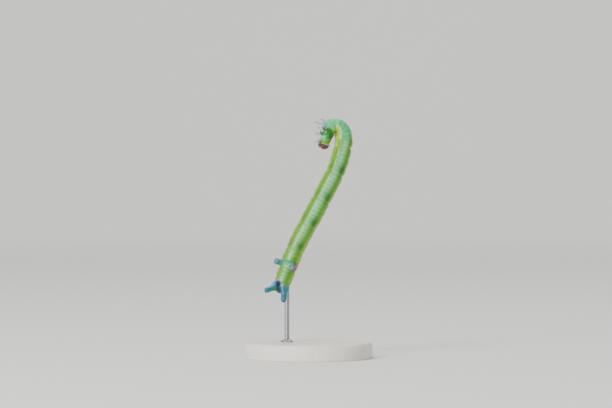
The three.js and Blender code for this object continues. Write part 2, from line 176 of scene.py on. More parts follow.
def bending(s, h=0.05):
    """How sharply the body turns at s, in radians for each millimetre."""
    turned = along(HEADING, s + h) - along(HEADING, s - h)
    return np.abs(np.radians(turned)) / (2 * h)


def plain_radius(s, angle):
    """Radius before the annulets, and how much the inside of the hook crowds it. The angle
    goes from the middle of the belly to the larva's left."""
    side = np.abs(angle)
    section = (
        1
        - BELLY_FLAT * bell(side, BELLY_FLAT_WIDTH)
        + RIDGE_HEIGHT * bell(side - RIDGE_ANGLE, RIDGE_WIDTH)
    )
    from_end = np.clip((LENGTHS[0] - s) / LENGTHS[0], 0, 1)
    tail = np.maximum(TAIL_LEAST, np.sqrt(np.maximum(0, 1 - from_end**TAIL_POWER)))
    neck = 1 - COLLAR * smooth(s, MIDDLES[-1], BORDERS[-1])
    r = mean_radius(s) * section * (1 - creases(s)) * tail * neck
    used = np.maximum(0, bending(s) * r * inwardness(s, angle)) / HOOK_SQUEEZE
    return r / (1 + used**SQUEEZE_SHARPNESS) ** (1 / SQUEEZE_SHARPNESS), used


def inwardness(s, angle):
    """1 on the inside of the hook's bend and -1 on its outside."""
    return -np.sin(np.radians(angle + along(ROLL, s)))


def annulets(s):
    """1 at each small crease between two annulets, 0 between them."""
    k = np.clip(np.searchsorted(BORDERS, s, side="right") - 1, 0, len(SEGMENTS) - 1)
    pitch = LENGTHS[k] / ANNULETS[k]
    off = (s - BORDERS[k]) / pitch
    return bell((off - np.round(off)) * pitch, ANNULET_WIDTH)


def skin_radius(s, angle):
    r, used = plain_radius(s, angle)
    turn = np.radians(angle)
    wander = 0.07 * np.sin(turn * 3 + s * 2.1) + 0.05 * np.sin(turn * 5 - s * 5.3)
    uneven = 0.62 + 0.24 * np.sin(s * 6.1 + 2 * np.sin(turn)) + 0.2 * np.sin(turn * 4 + s * 3.7)
    depth = np.clip(uneven, 0.15, 1.1) * (0.35 + 0.65 * smooth(s, 3.4, 6)) + 1.3 * smooth(used, 0.3, 1.0)
    pleats = FLANK_LUMPS * np.sin(s * 5.6 + turn * 2) * bell(np.abs(angle) - 84, 20)
    belt = BELT_HEIGHT * bell(s - BELT_AT, 0.4) * (1 - smooth(np.abs(angle), 30, 66))
    return r - ANNULET_DEPTH * depth * annulets(s + wander) + pleats + belt


def skin_point(s, angle, lift=0.0):
    s, angle = np.asarray(s, float), np.asarray(angle, float)
    place, _, belly, left = body_frame(s)
    r = (skin_radius(s, angle) + lift)[..., None]
    turn = np.radians(angle)[..., None]
    return place + r * (belly * np.cos(turn) + left * np.sin(turn))


def ring_faces(rings, sides):
    """Quads of a tube of rings, and a fan at each end to two last points."""
    faces = []
    for i in range(rings - 1):
        for j in range(sides):
            k = (j + 1) % sides
            faces.append((i * sides + j, i * sides + k, (i + 1) * sides + k, (i + 1) * sides + j))
    first, last = rings * sides, rings * sides + 1
    for j in range(sides):
        k = (j + 1) % sides
        faces.append((first, k, j))
        faces.append((last, (rings - 1) * sides + j, (rings - 1) * sides + k))
    return faces


def closed_tube(grid):
    """Points and faces of a closed tube from a grid of rings by sides."""
    rings, sides = grid.shape[:2]
    ends = [grid[0].mean(0), grid[-1].mean(0)]
    return np.concatenate([grid.reshape(-1, 3), ends]), ring_faces(rings, sides)


trunk_s = np.linspace(0, NECK_END, int(NECK_END / TRUNK_STEP) + 1)
trunk_angles = np.arange(TRUNK_SIDES) * 360 / TRUNK_SIDES - 180
trunk_grid = skin_point(*np.meshgrid(trunk_s, trunk_angles, indexing="ij"))

# The prolegs: fleshy stubs of the same skin, a short stout pair under the sixth segment and
# a longer pair at the tail, splayed back like the arms of a Y. Each ends in a broad sole.
PROLEG_SIDES, PROLEG_RINGS = 36, 44
PROLEG_WIDE = 1.1
PROLEGS = {
    "6_left": dict(s=3.3, root=(-0.1, 0.45, 0.34), thick=(0.56, 0.34, 0.38), tip=(-0.8, 1.3, 1.1)),
    "6_right": dict(s=3.3, root=(-0.1, 0.45, -0.34), thick=(0.56, 0.34, 0.38), tip=(-0.42, 1.45, -1.5)),
    "10_left": dict(s=0.5, root=(-0.3, 0.24, 0.3), thick=(0.66, 0.33, 0.33), tip=(-2.62, -0.05, 0.76)),
    "10_right": dict(s=0.5, root=(-0.3, 0.24, -0.3), thick=(0.66, 0.33, 0.33), tip=(-1.93, 1.02, -1.62)),
}
PROLEG_BOW = 0.12
TAIL_SAG = 0.22


def bent_line(root, bow, tip, share):
    """Points and unit tangents of a quadratic curve at even shares of its length."""
    t = np.linspace(0, 1, 200)[:, None]
    curve = (1 - t) ** 2 * root + 2 * t * (1 - t) * bow + t**2 * tip
    gone = np.concatenate([[0], np.cumsum(np.linalg.norm(np.diff(curve, axis=0), axis=1))])
    even = np.interp(share, gone / gone[-1], t[:, 0])[:, None]
    points = (1 - even) ** 2 * root + 2 * even * (1 - even) * bow + even**2 * tip
    tangents = 2 * (1 - even) * (bow - root) + 2 * even * (tip - bow)
    return points, tangents / np.linalg.norm(tangents, axis=1, keepdims=True)


def full_turn(steps):
    """Even angles all the way round, in radians."""
    return np.arange(steps) * 2 * np.pi / steps


def limb_grid(root, bow, tip, shares, radii, sides, across, wide=1.0):
    """Rings of a limb. across is a direction that the limb is wide in."""
    points, tangents = bent_line(root, bow, tip, shares)
    over = across - tangents * (tangents @ across)[:, None]
    over /= np.linalg.norm(over, axis=1, keepdims=True)
    deep = np.cross(tangents, over)
    turn = full_turn(sides)
    ring = over[:, None] * np.cos(turn)[None, :, None] * wide + deep[:, None] * np.sin(turn)[None, :, None]
    return points[:, None] + ring * radii[:, None, None]


proleg_shapes = {}
for name, size in PROLEGS.items():
    side = np.sign(size["tip"][2])
    _, proleg_ahead, _, proleg_left = body_frame(size["s"])
    root = body_place(size["s"], *size["root"])
    tip = body_place(size["s"], *size["tip"])
    bow = (root + tip) / 2 + proleg_left * side * PROLEG_BOW
    if name.startswith("10"):
        bow = bow - proleg_ahead * TAIL_SAG
    share = np.linspace(0, 1, PROLEG_RINGS)
    thick, neck, sole = size["thick"]
    radii = thick + (neck - thick) * smooth(share, 0.1, 0.62)
    radii = radii + (sole - neck) * smooth(share, 0.66, 0.86)
    radii = radii * (1 - 0.5 * smooth(share, 0.9, 1)) - 0.014 * bell((share * 7) % 1 - 0.5, 0.14)
    grid = limb_grid(root, bow, tip, share, radii, PROLEG_SIDES, proleg_ahead, PROLEG_WIDE)
    end_way = (tip - bow) / np.linalg.norm(tip - bow)
    proleg_shapes[name] = dict(grid=grid, tip=tip, way=end_way, across=proleg_ahead, side=side)

# The fleshy hips that the six hard legs stand on, the plate that shields the tail, and the
# web between the tail's prolegs: low cushions of the same skin.
LEGS = {
    "thorax_3_leg_left": dict(root=(0, 0.6, 0.28), tip=(0.24, 1.56, 0.35)),
    "thorax_3_leg_right": dict(root=(0.48, 0.6, -0.3), tip=(1.2, 1.88, -0.45)),
    "thorax_2_leg_left": dict(root=(0, 0.45, 0.24), tip=(0.12, 1.12, 0.42)),
    "thorax_2_leg_right": dict(root=(-0.05, 0.45, -0.3), tip=(-0.32, 1.22, -0.66)),
    "thorax_1_leg_left": dict(root=(0.1, 0.38, 0.2), tip=(0.36, 1.12, 0.3)),
    "thorax_1_leg_right": dict(root=(0, 0.38, -0.24), tip=(-0.32, 1.08, -0.55)),
}
HIP_RADIUS, HIP_TALL, HIP_SEAT = 0.3, 1.1, 0.12
PLATE = dict(s=0.14, back=-0.64, half=(0.64, 0.27, 0.56), spread=0.25)
WEB = dict(s=0.5, at=(-0.82, 0.08, -0.1), half=(0.66, 0.34, 0.46))


def cushion(centre, axes, half, spread=0.0, rings=22, sides=32):
    """A closed rounded pad on three axes; spread widens it towards the first axis."""
    lat = np.linspace(-np.pi / 2, np.pi / 2, rings + 2)[1:-1]
    turn = full_turn(sides)
    x = np.sin(lat)[:, None] * np.ones(sides)
    y = np.cos(lat)[:, None] * np.cos(turn)
    z = np.cos(lat)[:, None] * np.sin(turn) * (1 + spread * x)
    unit = [x * half[0], y * half[1], z * half[2]]
    return centre + sum(u[..., None] * axis for u, axis in zip(unit, axes))


hip_grids = []
for name, size in LEGS.items():
    middle = MIDDLES[NUMBER[name[:8]]]
    root = np.array(size["root"])
    seat = root + (np.array(size["tip"]) - root) * HIP_SEAT
    hip_half = (HIP_RADIUS, HIP_RADIUS * HIP_TALL, HIP_RADIUS)
    hip_grids.append(cushion(body_place(middle, *seat), body_frame(middle)[1:], hip_half))
plate_place = body_place(PLATE["s"], 0, PLATE["back"], 0)
plate_grid = cushion(plate_place, body_frame(PLATE["s"])[1:], PLATE["half"], PLATE["spread"])
web_grid = cushion(body_place(WEB["s"], *WEB["at"]), body_frame(WEB["s"])[1:], WEB["half"])

# The whole skin: trunk, prolegs, hips, plate and web run into one another with no seam, so
# they are melted into one sheet, softened where they meet, and drawn back onto the trunk.
VOXEL = 0.047
MELT_ROUNDS, LAST_ROUNDS = 30, 3
JOIN_REACH = 0.26
LIMB_REACH, SOLE_REACH = 0.09, 0.3


def raw_mesh(name, points, faces):
    """A smooth-shaded mesh of points and faces."""
    made = bpy.data.meshes.new(name)
    made.from_pydata([tuple(p) for p in points], [], faces)
    made.polygons.foreach_set("use_smooth", np.ones(len(faces), bool))
    made.update()
    return made


def join_parts(parts):
    """One list of points and faces from several."""
    points, faces, base = [], [], 0
    for part_points, part_faces in parts:
        points.append(part_points)
        faces += [tuple(i + base for i in face) for face in part_faces]
        base += len(part_points)
    return np.concatenate(points), faces


limb_grids = [shape["grid"] for shape in proleg_shapes.values()]
limb_grids += hip_grids + [plate_grid, web_grid]
skin_parts = [closed_tube(grid) for grid in [trunk_grid] + limb_grids]
melt = bpy.data.objects.new("melt", raw_mesh("melt", *join_parts(skin_parts)))
bpy.context.collection.objects.link(melt)
remesh = melt.modifiers.new("melt", "REMESH")
remesh.mode = "VOXEL"
remesh.voxel_size = VOXEL
melted = bpy.data.meshes.new_from_object(melt.evaluated_get(bpy.context.evaluated_depsgraph_get()))
bpy.data.objects.remove(melt)

count = len(melted.vertices)
points = np.empty(count * 3)
melted.vertices.foreach_get("co", points)
points = points.reshape(-1, 3)
edges = np.empty(len(melted.edges) * 2, int)
melted.edges.foreach_get("vertices", edges)
edges = edges.reshape(-1, 2)
neighbours = np.bincount(edges.ravel(), minlength=count)


def relax(points, weight, rounds):
    """Draws each point towards its neighbours' mean by its weight."""
    for _ in range(rounds):
        total = np.stack(
            [
                np.bincount(edges[:, 0], points[edges[:, 1], i], count)
                + np.bincount(edges[:, 1], points[edges[:, 0], i], count)
                for i in range(3)
            ],
            -1,
        )
        points = points + weight[:, None] * (total / neighbours[:, None] - points)
    return points


def nearest_on(grid, points, wanted):
    """Distance to a tube of rings, and the ring and side (as fractions) of the nearest spot."""
    rings, sides = grid.shape[:2]
    flat = grid.reshape(-1, 3)
    quads = ring_faces(rings, sides)[: (rings - 1) * sides]
    tree = BVHTree.FromPolygons([tuple(p) for p in flat], quads)
    far = np.full(len(points), 9.0)
    ring, side = np.zeros(len(points)), np.zeros(len(points))
    for n in wanted:
        spot, _, face, gap = tree.find_nearest(Vector(points[n]), 3.0)
        if spot is None:
            continue
        i, j = divmod(face, sides)
        corner = flat[i * sides + j]
        up = flat[(i + 1) * sides + j] - corner
        over = flat[i * sides + (j + 1) % sides] - corner
        off = np.array(spot) - corner
        far[n] = gap
        ring[n] = i + min(1, max(0, off @ up / max(up @ up, 1e-9)))
        side[n] = j + min(1, max(0, off @ over / max(over @ over, 1e-9)))
    return far, ring, side


trunk_gap, trunk_ring, trunk_side = nearest_on(trunk_grid, points, range(count))
skin_s = np.interp(trunk_ring, np.arange(len(trunk_s)), trunk_s)
skin_angle = (trunk_side * 360 / TRUNK_SIDES) % 360 - 180
gaps = [trunk_gap]
limb_share = {}
for key, grid in zip_longest(proleg_shapes, limb_grids):
    centre = grid.reshape(-1, 3).mean(0)
    reach = np.linalg.norm(grid.reshape(-1, 3) - centre, axis=1).max() + 2 * JOIN_REACH
    near = np.flatnonzero(np.linalg.norm(points - centre, axis=1) < reach)
    gap, ring, side = nearest_on(grid, points, near)
    gaps.append(gap)
    if key:
        on_sole = (ring > len(grid) - 1.5) & (gap < SOLE_REACH)
        owns = ((gap < LIMB_REACH) | on_sole) * smooth(trunk_gap, 0.01, 0.1)
        limb_share[key] = (ring / (len(grid) - 1), side / grid.shape[1] * 360, owns)

on_trunk = 1 - smooth(trunk_gap, 0.03, 0.12)
limb_gap = np.min(gaps[1:], 0)
join = 1 - smooth(np.sort(gaps, 0)[1], 0.05, JOIN_REACH)
drawn = skin_point(skin_s, skin_angle)
open_skin = on_trunk * smooth(limb_gap, 0.02, JOIN_REACH) * (skin_s > 0.12) * (skin_s < NECK_END - 0.1)
points = points + open_skin[:, None] * (drawn - points)
points = relax(points, 0.5 * join, MELT_ROUNDS)
points = relax(points, 0.5 * (1 - open_skin) * (1 - join), LAST_ROUNDS)

# Where the skin is which colour: mint along the belly, leaf green on the flanks with a dark
# cloud ahead of each hind border, a yellow line at the breathing holes, teal prolegs joined
# by a teal belt, and so on. Each colour's place is one mask over the skin. Some masks paint
# light and shade, not the skin's own colour: a paler side where the lamp falls, shade in the
# annulet creases, in the hook's folds and on the thorax's back, highlights on the hook and on
# the tail's prolegs, and shade in the tail's cleft and under one sole.
CLOUD_AHEAD = 0.7
CLOUDS = {"abdomen_2": 1, "abdomen_3": 1, "abdomen_4": 1, "abdomen_5": 0.9, "abdomen_6": 0.6}
# Painted light: the flank green and the clouds go on at full strength on the larva's left and weaker on its
# right, the side turned to the key lamp, so that side reads paler.
LEFT_SHADE, RIGHT_SHADE, LEFT_STEM_SHADE = 1.0, 0.4, 0.15
HOOK_COLOUR, THORAX_COLOUR, REAR_YELLOW = (20.2, 21.1), (23.75, 24.05), (4.5, 11)
# Painted shade: dark bands in the creases inside the hook.
SHADED_CREASES = (21.95, 21.45, 20.95, 20.4)
# Painted shade, partly the prolegs' own blue: a navy mark along this line in the cleft between the tail's
# prolegs.
CLEFT_SHADE_LINE = (-1.25, 0.35, -0.06), (-0.45, 0.95, -0.3)
FLUSH_SPOTS = (3.7, -64, 15), (3.4, 58, 14)
# The second offset places a painted shadow, dark plum, under the tip of the sixth segment's left proleg.
TIP_FLUSH, TIP_SHADOW = (0.3, 0, 0.3), (0.22, 0, -0.34)


def gap_from(start, end=None):
    """How far each point of the skin is from a place, or from a straight line."""
    way = np.zeros(3) if end is None else end - start
    share = np.clip((points - start) @ way / max(way @ way, 1e-9), 0, 1)
    return np.linalg.norm(points - start - share[:, None] * way, axis=1)


wide_angle = np.abs(skin_angle)
# Painted light: how strongly each side takes the dark flank pattern, weaker on the lamp-facing right.
shade = np.where(skin_angle > 0, LEFT_SHADE, RIGHT_SHADE)
crumple = smooth(plain_radius(skin_s, skin_angle)[1], 0.25, 0.8)
hooked = smooth(skin_s, *HOOK_COLOUR)
early = smooth(wide_angle, 40, 80) - 1.2 * smooth(wide_angle, 96, 112)
on_thorax = smooth(skin_s + 0.32 * early, *THORAX_COLOUR)
rear = 1 - smooth(skin_s, *REAR_YELLOW)
at_tail = 1 - smooth(skin_s, 0.15, 0.75)
inside = smooth(skin_s, 19.3, 20.0) * (1 - smooth(skin_s - 1.05 * smooth(wide_angle, 70, 100), 22.35, 22.8))
inside = inside * smooth(wide_angle, 50, 60) * (1 - smooth(wide_angle, 125, 150))
rings = annulets(skin_s)
# Painted shade: dark olive in the deep fold between the thorax and the trunk, and in the creases inside the
# hook.
fold_shade = bell(skin_s - 22.45, 0.2) * bell(wide_angle - 92, 15)
fold_shade += sum(bell(skin_s - at, 0.07) * smooth(wide_angle, 72, 92) for at in SHADED_CREASES)
cloud = np.zeros(count)
for name, strength in CLOUDS.items():
    middle = BORDERS[NUMBER[name]] + CLOUD_AHEAD
    cloud += strength * bell(skin_s - middle, 0.66) * bell(wide_angle - 40, 21)
    cloud += 0.32 * strength * bell(skin_s - middle - 0.15, 0.6) * bell(skin_angle - 6, 26)
masks = {
    "rear_yellow": rear * (1 - smooth(wide_angle, 60, 90)),
    # The flank green and the clouds below are weakened on the lamp-facing side: painted light.
    "flank": smooth(wide_angle, 8, 40) * (1 - smooth(wide_angle, 56, 72)) * shade * (1 - hooked),
    "belly": (1 - smooth(wide_angle, 0, 34)) * (1 - 0.4 * rear) * (1 - hooked),
    "cloud": cloud * shade,
    "line": bell(wide_angle - 69, 10) * (1 - smooth(skin_s, 22.9, 23.25)) * (1 - at_tail),
    "back": smooth(wide_angle, 88, 112),
    "back_lines": bell(wide_angle - 128, 5) + bell(wide_angle - 158, 4),
    "mint": hooked * (1 - smooth(wide_angle - 58 * smooth(skin_s, 22.7, 23.2), 42, 54)),
    "inside": inside,
    # Painted shade: darker green in the small creases between annulets.
    "rings": rings * (1 - smooth(wide_angle, 60, 80)),
    # Painted shade: dark olive in the crumpled folds inside the hook.
    "pleats": inside * np.clip(rings * crumple + fold_shade, 0, 1),
    # Painted highlight: a pale stripe down the hook where it faces the key lamp.
    "stripe": hooked * bell(wide_angle - 47, 6) * (1 - 0.5 * rings) * (1 - smooth(skin_s, 22.2, 23.2)),
    "creases": smooth(creases(skin_s), 0.02, FOLD_DEPTH) * (1 - on_thorax),
    "fold_yellow": bell(skin_s - BORDERS[NUMBER["abdomen_1"]] - 0.08, 0.16) * bell(wide_angle - 62, 20),
    "thorax_side": on_thorax
    * np.maximum(smooth(wide_angle, 4, 26), bell(skin_s - 24.24, 0.42))
    * (1 - 0.6 * smooth(skin_s, 24.5, 24.75) * (1 - smooth(wide_angle, 70, 100))),
    # Painted shade: dark green on the thorax's back, which faces into the hook.
    "thorax_back": on_thorax * smooth(wide_angle, 92, 118),
    "neck": smooth(skin_s, 24.95, 25.12),
    "hip_spot": bell(skin_s - 23.86, 0.26) * bell(wide_angle - 56, 21),
}
for key, (share, turn, owns) in limb_share.items():
    up = np.cos(np.radians(turn))
    if key.startswith("6"):
        own_masks = {"proleg_six": owns, "sole": owns * smooth(share + 0.12 * up, 0.74, 0.94)}
    else:
        # The hanging tail proleg (10_left) takes only a trace of the painted top highlight and of the green
        # underside.
        stem = owns * (1 - smooth(share, 0.6, 0.9)) * (1 if key == "10_right" else LEFT_STEM_SHADE)
        own_masks = {
            "proleg_ten": owns * smooth(share, 0.12, 0.3),
            # Painted highlight: light blue along the upper side of each tail proleg.
            "top": stem * smooth(up, 0.0, 0.7),
            "under": stem * smooth(-up, -0.2, 0.4),
        }
    for name, mask in own_masks.items():
        masks[name] = np.maximum(masks.get(name, 0), mask)
belt = bell(skin_s - BELT_AT, 0.42) * (1 - smooth(wide_angle, 36, 66))
masks["proleg_six"] = np.maximum(masks["proleg_six"], smooth(belt, 0.2, 0.7))
masks["tail_belly"] = at_tail * bell(skin_angle + 16, 40)
# Painted shade, partly the prolegs' own blue: navy in the cleft between the tail's prolegs.
masks["navy"] = 1 - smooth(gap_from(*(body_place(WEB["s"], *spot) for spot in CLEFT_SHADE_LINE)), 0.12, 0.56)
left_tip = proleg_shapes["6_left"]["tip"]
share, turn, owns = limb_share["6_right"]
masks["flush"] = owns * bell(share - 0.45, 0.16) * smooth(np.cos(np.radians(turn)), 0.3, 0.9)
masks["flush"] += bell(gap_from(left_tip + TIP_FLUSH), 0.36)
for at, angle, width in FLUSH_SPOTS:
    masks["flush"] += bell(skin_s - at, 0.2) * bell(skin_angle - angle, width)
# Painted shadow: dark plum under the tip of the sixth segment's left proleg.
masks["plum"] = bell(gap_from(left_tip + TIP_SHADOW), 0.34)


def paint_mask(mesh, name, mask):
    """Stores in the mesh how strongly one colour lies on each of its points."""
    layer = mesh.attributes.new(name, "FLOAT", "POINT")
    layer.data.foreach_set("value", np.clip(mask, 0, 1))


skin = bpy.data.objects.new("skin", melted)
melted.name = "skin"
melted.vertices.foreach_set("co", (points * MM).ravel())
for name, mask in masks.items():
    paint_mask(melted, name, mask)
melted.polygons.foreach_set("use_smooth", np.ones(len(melted.polygons), bool))
melted.update()
bpy.context.collection.objects.link(skin)

# The skin's finish: thin, moist, slightly see-through cuticle with a fine grain. The colours
# lie over one another as in an airbrushed museum cast.
LEAF_GREEN = (100, 158, 42)
LAYERS = [
    ("back", (74, 142, 40), 0.8),
    ("rear_yellow", (134, 172, 44), 0.5),
    ("flank", (66, 130, 10), 0.75),
    ("belly", (120, 198, 146), 0.85),
    ("cloud", (20, 90, 0), 0.9),
    ("line", (150, 186, 26), 0.75),
    ("back_lines", (160, 204, 110), 0.5),
    ("mint", (70, 190, 118), 0.95),
    ("creases", (150, 190, 80), 0.15),
    # Painted shade in the creases between annulets.
    ("rings", (46, 120, 40), 0.3),
    ("inside", (158, 190, 8), 0.95),
    # Painted shade in the hook's folds.
    ("pleats", (44, 74, 0), 0.9),
    # Painted highlight on the hook.
    ("stripe", (214, 232, 200), 0.7),
    ("fold_yellow", (190, 206, 10), 0.7),
    ("thorax_side", (4, 118, 2), 0.97),
    # Painted shade on the thorax's back.
    ("thorax_back", (30, 84, 4), 0.7),
    ("neck", (96, 160, 60), 0.75),
    ("hip_spot", (44, 16, 10), 1.0),
    ("tail_belly", (112, 162, 170), 0.6),
    ("proleg_six", (20, 142, 104), 0.95),
    ("proleg_ten", (10, 104, 130), 0.95),
    # Painted highlight on the upper side of the tail's prolegs.
    ("top", (96, 150, 206), 0.8),
    ("under", (4, 118, 44), 0.85),
    # Painted shade with some of the prolegs' blue, in the tail's cleft.
    ("navy", (2, 24, 76), 0.97),
    ("sole", (104, 116, 172), 0.75),
    ("flush", (158, 4, 88), 0.92),
    # Painted shadow under the sixth segment's left sole.
    ("plum", (44, 4, 40), 0.9),
]
MOTTLE_SCALE = 3200
GRAIN_SCALE, GRAIN_DEPTH = 26000, 0.000004


def plain_colour(r, g, b):
    """Linear red, green and blue of a colour named on the 0 to 255 scale of a screen."""
    return tuple(math.pow((v / 255 + 0.055) / 1.055, 2.4) for v in (r, g, b)) + (1,)


def add_node(tree, kind, inputs=(), **settings):
    """A node whose inputs are given as values or as other nodes' outputs."""
    made = tree.nodes.new(kind)
    for name, value in settings.items():
        setattr(made, name, value)
    for name, value in dict(inputs).items():
        if hasattr(value, "is_linked"):
            tree.links.new(value, made.inputs[name])
        else:
            made.inputs[name].default_value = value
    return made


def new_finish(name, roughness, **sockets):
    """A material, its tree and its shader, with the sockets that are the same all over."""
    made = bpy.data.materials.new(name)
    made.use_nodes = True
    shader = made.node_tree.nodes["Principled BSDF"]
    shader.inputs["Roughness"].default_value = roughness
    for socket, value in sockets.items():
        shader.inputs[socket.replace("_", " ")].default_value = value
    return made, made.node_tree, shader


def grain(tree, scale, detail=3.0):
    """Fine noise over the surface, from 0 to 1."""
    place = add_node(tree, "ShaderNodeTexCoord").outputs["Object"]
    noise = add_node(tree, "ShaderNodeTexNoise", {"Vector": place, "Scale": scale, "Detail": detail})
    return noise.outputs["Fac"]


def airbrushed(tree, ground, layers, cloudiness, scale):
    """Colours over one another where the mesh's masks are strong, with broken edges."""
    clouds = grain(tree, scale)
    colour = plain_colour(*ground)
    for mask, tint, strength in layers:
        weight = add_node(tree, "ShaderNodeAttribute", attribute_name=mask).outputs["Fac"]
        spread = add_node(
            tree,
            "ShaderNodeMath",
            {0: clouds, 1: 2 * cloudiness * strength, 2: strength * (1 - cloudiness)},
            operation="MULTIPLY_ADD",
        ).outputs[0]
        factor = add_node(
            tree, "ShaderNodeMath", {0: weight, 1: spread}, operation="MULTIPLY", use_clamp=True
        ).outputs[0]
        colours = {"Factor": factor, 6: colour, 7: plain_colour(*tint)}
        colour = add_node(tree, "ShaderNodeMix", colours, data_type="RGBA").outputs[2]
    return colour


def mottled(tree, shader, colour, scale, dark, light):
    """Colours the surface, a little darker and lighter from place to place."""
    value = add_node(
        tree,
        "ShaderNodeMapRange",
        {"Value": grain(tree, scale), "From Min": 0.3, "From Max": 0.7, "To Min": dark, "To Max": light},
    ).outputs[0]
    hsv = add_node(tree, "ShaderNodeHueSaturation", {"Value": value, "Color": colour})
    tree.links.new(hsv.outputs["Color"], shader.inputs["Base Color"])


def pebble(tree, shader, scale, depth, strength=0.5):
    """A fine bump of the given depth in metres."""
    bump = add_node(
        tree,
        "ShaderNodeBump",
        {"Height": grain(tree, scale, 2.0), "Distance": depth, "Strength": strength},
    )
    tree.links.new(bump.outputs["Normal"], shader.inputs["Normal"])


def uneven_gloss(tree, shader, scale, low, high):
    """Roughness that wanders between two values."""
    value = add_node(
        tree, "ShaderNodeMapRange", {"Value": grain(tree, scale), "To Min": low, "To Max": high}
    ).outputs[0]
    tree.links.new(value, shader.inputs["Roughness"])


skin_finish, tree, shader = new_finish(
    "larva_skin", 0.4, Subsurface_Weight=0.12, Subsurface_Scale=0.0003, Coat_Weight=0.45,
    Coat_Roughness=0.24, Specular_IOR_Level=0.25,
)
colour = airbrushed(tree, LEAF_GREEN, LAYERS, 0.25, MOTTLE_SCALE)
mottled(tree, shader, colour, MOTTLE_SCALE * 3, 0.9, 1.1)
uneven_gloss(tree, shader, MOTTLE_SCALE, 0.3, 0.44)
pebble(tree, shader, GRAIN_SCALE, GRAIN_DEPTH)
melted.materials.append(skin_finish)

FLESH_NODES = [name for name, _, _ in SEGMENTS] + ["anal_plate"]
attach(skin, "root")
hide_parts(*FLESH_NODES, *("proleg_" + name for name in PROLEGS))

# Crochets: the fine horn hooks in a curved row along the inner edge of each sole, with which
# the larva grips a twig.
CROCHETS = 15
CROCHET = dict(length=0.13, radius=0.014, point=0.004, spread=62, row=0.2, sunk=0.03, hook=0.09)
GRIP_COLOUR = (46, 28, 30)


def placed_mesh(name, parts, finish):
    """One piece on the body, from several point and face lists in millimetres."""
    points, faces = join_parts(parts)
    made = raw_mesh(name, points * MM, faces)
    made.materials.append(finish)
    piece = bpy.data.objects.new(name, made)
    bpy.context.collection.objects.link(piece)
    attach(piece, "root")
    return piece


def thin_horn(root, bow, tip, thick, thin, sides=6, rings=8):
    """A tapering bent hair, hook or claw."""
    share = np.linspace(0, 1, rings)
    radii = thick + (thin - thick) * share**0.8
    across = np.cross(tip - root, [0.31, 0.57, 0.76])
    return closed_tube(limb_grid(root, bow, tip, share, radii, sides, across))


def horn_finish(name, colour, roughness=0.28):
    """Hard, shiny horn."""
    made, tree, shader = new_finish(name, roughness, Specular_IOR_Level=0.6)
    mottled(tree, shader, plain_colour(*colour), 14000, 0.75, 1.25)
    pebble(tree, shader, 40000, 0.000002)
    return made


hooks = []
for shape in proleg_shapes.values():
    way, across = shape["way"], shape["across"]
    across = across - way * (way @ across)
    across /= np.linalg.norm(across)
    inward = np.cross(way, across)
    inward *= np.sign(inward @ (body_place(1.5, 0, 2, 0) - shape["tip"]))
    inward, across = inward * 0.6 - across * 0.8, inward * 0.8 + across * 0.6
    for i in range(CROCHETS):
        turn = math.radians(CROCHET["spread"] * (2 * i / (CROCHETS - 1) - 1))
        out = inward * math.cos(turn) + across * math.sin(turn) * 1.1
        root = shape["tip"] + out * CROCHET["row"] - way * CROCHET["sunk"]
        bow = root + way * CROCHET["length"] * 0.8 + out * 0.02
        tip = root + way * CROCHET["length"] * 0.7 + out * CROCHET["hook"]
        hooks.append(thin_horn(root, bow, tip, CROCHET["radius"], CROCHET["point"]))
placed_mesh("crochets", hooks, horn_finish("crochet_horn", GRIP_COLOUR))

# Spiracles: the breathing holes, a small oval ring of cuticle round a dark slit, one on each
# side of the first thoracic segment and of abdominal segments one to eight.
SPIRACLE_ANGLE = 80
SPIRACLE = dict(long=0.085, high=0.06, wall=0.018)
SPIRACLE_SEGMENTS = ["thorax_1"] + [f"abdomen_{i}" for i in range(1, 9)]
SPIRACLE_SHARE = 0.72
RIM_STEPS, WALL_STEPS = 20, 8


def skin_axes(s, angle):
    """Outward, ahead and sideways directions of the skin at a spot."""
    h = 0.03
    here = skin_point(s, angle)
    ahead = skin_point(s + h, angle) - skin_point(s - h, angle)
    ahead /= np.linalg.norm(ahead)
    over = skin_point(s, angle + 2) - skin_point(s, angle - 2)
    out = np.cross(over, ahead)
    out /= np.linalg.norm(out)
    out *= np.sign(out @ (here - body_frame(s)[0]))
    return here, out, ahead, np.cross(out, ahead)


rim_faces = []
for i in range(RIM_STEPS):
    row, next_row = i * WALL_STEPS, (i + 1) % RIM_STEPS * WALL_STEPS
    for j in range(WALL_STEPS):
        k = (j + 1) % WALL_STEPS
        rim_faces.append((row + j, row + k, next_row + k, next_row + j))
rims, slits = [], []
for name in SPIRACLE_SEGMENTS:
    s = float(BORDERS[NUMBER[name]] + LENGTHS[NUMBER[name]] * SPIRACLE_SHARE)
    for angle in (SPIRACLE_ANGLE, -SPIRACLE_ANGLE):
        here, out, ahead, over = skin_axes(s, float(angle))
        turn = full_turn(RIM_STEPS)
        ring = over * np.cos(turn)[:, None] * SPIRACLE["long"]
        ring += ahead * np.sin(turn)[:, None] * SPIRACLE["high"]
        unit = ring / np.linalg.norm(ring, axis=1, keepdims=True)
        roll = full_turn(WALL_STEPS)
        wall = unit[:, None] * np.cos(roll)[None, :, None] + out * np.sin(roll)[None, :, None]
        grid = here + ring[:, None] + wall * SPIRACLE["wall"]
        rims.append((grid.reshape(-1, 3), rim_faces))
        axes = (out, over, ahead)
        half = (0.016, SPIRACLE["long"], SPIRACLE["high"])
        slits.append(closed_tube(cushion(here, axes, half, rings=6, sides=16)))
placed_mesh("spiracle_rims", rims, horn_finish("spiracle_rim", (150, 150, 70), 0.4))
placed_mesh("spiracle_slits", slits, horn_finish("spiracle_slit", (60, 66, 34), 0.5))

